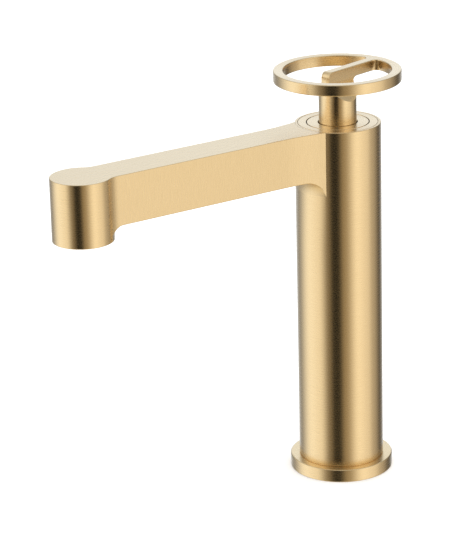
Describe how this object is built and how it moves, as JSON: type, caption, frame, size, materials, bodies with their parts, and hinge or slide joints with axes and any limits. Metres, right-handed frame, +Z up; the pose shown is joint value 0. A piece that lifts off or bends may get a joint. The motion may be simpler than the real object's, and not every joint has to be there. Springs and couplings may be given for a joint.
{
  "type": "bathroom mixer faucet",
  "caption": "Deck-mounted basin mixer with a round column, a square-section spout with a round outlet, and a turning handwheel.",
  "frame": {"origin": "centre of the foot flange's underside, on the deck, on the axis of the column, the handwheel and the stud hole", "axes": "+Z up along the column, -Y along the spout towards the user, +X to the right of the spout as seen from above with the spout pointing down the page"},
  "size_m": [0.062, 0.1905, 0.2051],
  "materials": {
    "brushed_gold": "brushed satin gold, clear coated",
    "raw_brass": "machined, unplated",
    "copper_tube": "drawn copper tube",
    "stainless": "stainless steel",
    "black_rubber": "moulded black rubber",
    "white_plastic": "moulded white plastic",
    "grey_plastic": "moulded grey plastic",
    "ceramic_disc": "lapped alumina ceramic"
  },
  "bodies": {
    "body": {"body_casting": "brushed_gold", "base_flange": "brushed_gold", "foot_gasket": "black_rubber", "inlet_block": "raw_brass", "block_retaining_ring": "stainless", "hot_supply_tube": "copper_tube", "cold_supply_tube": "copper_tube", "tube_seals": "black_rubber", "cartridge_base": "grey_plastic", "port_seals": "black_rubber", "fixed_ceramic_disc": "ceramic_disc", "cartridge_housing": "white_plastic", "cartridge_nut": "raw_brass", "trim_ring": "brushed_gold", "cover_disc": "brushed_gold", "aerator_housing": "brushed_gold", "aerator_insert": "white_plastic", "aerator_screen": "stainless", "aerator_washer": "black_rubber"},
    "handle": {"wheel_rim": "brushed_gold", "wheel_spoke": "brushed_gold", "handle_stem": "brushed_gold", "grub_screw": "stainless", "screw_plug": "brushed_gold", "spline_adaptor": "grey_plastic", "spindle": "raw_brass", "spindle_seals": "black_rubber", "spindle_circlip": "stainless", "disc_carrier": "grey_plastic", "moving_ceramic_disc": "ceramic_disc"}
  },
  "joints": [
    {"name": "handle_turn", "type": "hinge", "parent": "body", "child": "handle", "pos_m": [0, 0, 0.179], "axis": [0, 0, 1], "range_deg": [-13, 92]}
  ]
}
